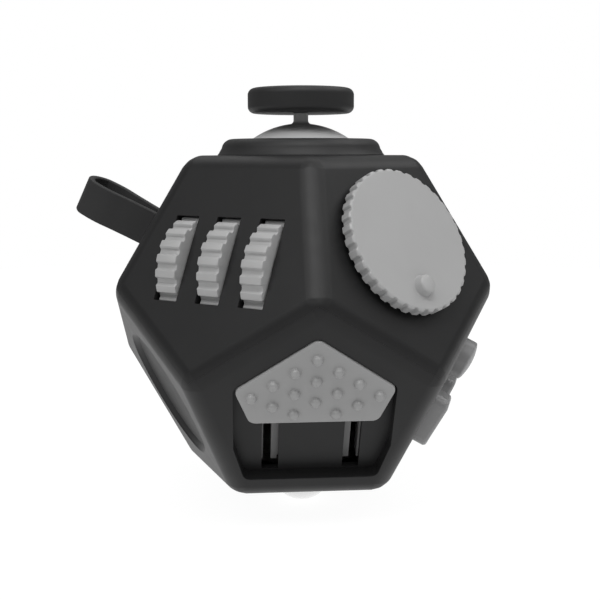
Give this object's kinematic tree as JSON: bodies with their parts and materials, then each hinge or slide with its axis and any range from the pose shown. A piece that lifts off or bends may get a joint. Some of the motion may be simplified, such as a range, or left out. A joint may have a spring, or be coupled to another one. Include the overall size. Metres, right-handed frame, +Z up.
{
  "type": "twelve-sided fidget toy",
  "caption": "Rounded twelve-sided fidget cube with a joystick, ridged wheels, dial, slider, buttons, ball, strap loop and switches on its faces.",
  "frame": {"origin": "on the surface that the toy stands on, under its rolling ball, at the middle of the whole object's bounding box in X and Y", "axes": "+Z up through the joystick's axis; the face with the thumb slider is turned towards -Y, and +X is to the right as one looks at that face"},
  "size_m": [0.0556, 0.0508, 0.0565],
  "materials": {
    "case_plastic": "fine satin, near black",
    "grip_plastic": "matt, near black",
    "silicone": "soft matt silicone",
    "grey_plastic": "satin mid grey",
    "light_plastic": "satin light grey",
    "key_plastic": "satin grey",
    "ball_plastic": "smooth pale grey",
    "inner_plastic": "plain grey nylon",
    "steel": "plain steel"
  },
  "bodies": {
    "case": {"upper_shell": "case_plastic", "lower_shell": "case_plastic", "joystick_collar": "grip_plastic", "joystick_frame": "inner_plastic", "joystick_spring_cup": "inner_plastic", "joystick_return_spring": "steel", "joystick_centering_plate": "inner_plastic", "joystick_cup_screw_1": "steel", "joystick_cup_screw_2": "steel", "joystick_cup_screw_3": "steel", "gear_axle": "steel", "gear_bearing_left": "inner_plastic", "gear_bearing_right": "inner_plastic", "gear_spacer_left": "inner_plastic", "gear_spacer_right": "inner_plastic", "slider_guide": "inner_plastic", "button_backplate": "inner_plastic", "button_backplate_screw_1": "steel", "button_backplate_screw_2": "steel", "button_backplate_screw_3": "steel", "round_button_spring": "steel", "click_key_spring_left": "steel", "click_key_spring_right": "steel", "strap_loop": "silicone", "strap_pin": "steel", "strap_anchor": "inner_plastic", "ball_retaining_ring": "grip_plastic", "ball_socket": "inner_plastic", "rocker_pin": "steel", "rocker_bracket": "inner_plastic", "toggle_pin": "steel", "toggle_bracket": "inner_plastic", "twist_hub": "grip_plastic", "twist_hub_screw": "steel", "push_button_housing": "inner_plastic", "push_button_spring": "steel"},
    "joystick_ring": {"joystick_gimbal_ring": "inner_plastic"},
    "joystick": {"joystick_stick": "light_plastic", "joystick_cap": "grip_plastic"},
    "wheel_left": {"gear_wheel_left": "light_plastic"},
    "wheel_middle": {"gear_wheel_middle": "light_plastic"},
    "wheel_right": {"gear_wheel_right": "light_plastic"},
    "dial": {"dial_disc": "grey_plastic", "dial_retaining_clip": "steel"},
    "slider": {"slider_plate": "grey_plastic", "slider_carriage": "inner_plastic"},
    "round_button": {"round_button": "key_plastic"},
    "key_left": {"click_key_left": "key_plastic"},
    "key_right": {"click_key_right": "key_plastic"},
    "ball": {"roller_ball": "ball_plastic"},
    "rocker": {"rocker_switch": "grey_plastic"},
    "toggle": {"toggle_lever": "grey_plastic"},
    "ring": {"twist_ring": "grey_plastic"},
    "push": {"push_button": "grey_plastic"}
  },
  "joints": [
    {"name": "joystick_lean_back", "type": "hinge", "parent": "case", "child": "joystick_ring", "pos_m": [0.00354, 0, 0.04066], "axis": [1, 0, 0], "range_deg": [-16, 16], "stiffness_Nm_per_rad": 0.02},
    {"name": "joystick_lean_side", "type": "hinge", "parent": "joystick_ring", "child": "joystick", "pos_m": [0.00354, 0, 0.04066], "axis": [0, 1, 0], "range_deg": [-16, 16], "stiffness_Nm_per_rad": 0.02},
    {"name": "wheel_left_spin", "type": "hinge", "parent": "case", "child": "wheel_left", "pos_m": [-0.01006, -0.00811, 0.03322], "axis": [0.809, -0.5878, 0], "continuous": true},
    {"name": "wheel_middle_spin", "type": "hinge", "parent": "case", "child": "wheel_middle", "pos_m": [-0.00502, -0.01177, 0.03322], "axis": [0.809, -0.5878, 0], "continuous": true},
    {"name": "wheel_right_spin", "type": "hinge", "parent": "case", "child": "wheel_right", "pos_m": [0.00003, -0.01544, 0.03322], "axis": [0.809, -0.5878, 0], "continuous": true},
    {"name": "dial_turn", "type": "hinge", "parent": "case", "child": "dial", "pos_m": [0.01432, -0.01484, 0.03694], "axis": [0.5257, -0.7236, 0.4472], "continuous": true},
    {"name": "slider_travel", "type": "slide", "parent": "case", "child": "slider", "axis": [0, 0.4472, -0.8944], "range_m": [0, 0.0094]},
    {"name": "round_button_press", "type": "slide", "parent": "case", "child": "round_button", "axis": [-0.8507, 0.2764, 0.4472], "range_m": [0, 0.0009], "stiffness_N_per_m": 120, "deforming": ["round_button_spring"]},
    {"name": "key_left_press", "type": "slide", "parent": "case", "child": "key_left", "axis": [-0.8507, 0.2764, 0.4472], "range_m": [0, 0.0009], "stiffness_N_per_m": 120, "deforming": ["click_key_spring_left"]},
    {"name": "key_right_press", "type": "slide", "parent": "case", "child": "key_right", "axis": [-0.8507, 0.2764, 0.4472], "range_m": [0, 0.0009], "stiffness_N_per_m": 120, "deforming": ["click_key_spring_right"]},
    {"name": "ball_roll", "type": "hinge", "parent": "case", "child": "ball", "pos_m": [0.00354, 0, 0.0043], "axis": [1, 0, 0], "continuous": true},
    {"name": "rocker_flip", "type": "hinge", "parent": "case", "child": "rocker", "pos_m": [0.01813, 0.00474, 0.03399], "axis": [-0.4253, -0.1382, 0.8944], "range_deg": [0, 14]},
    {"name": "toggle_flip", "type": "hinge", "parent": "case", "child": "toggle", "pos_m": [0.01256, 0.01242, 0.01864], "axis": [-0.809, 0.5878, 0], "range_deg": [-40, 0]},
    {"name": "ring_twist", "type": "hinge", "parent": "case", "child": "ring", "pos_m": [0.00354, 0.02017, 0.0364], "axis": [0, 0.8944, 0.4472], "continuous": true},
    {"name": "push_button_press", "type": "slide", "parent": "case", "child": "push", "axis": [0.5257, -0.7236, 0.4472], "range_m": [0, 0.0012], "stiffness_N_per_m": 120, "deforming": ["push_button_spring"]}
  ]
}
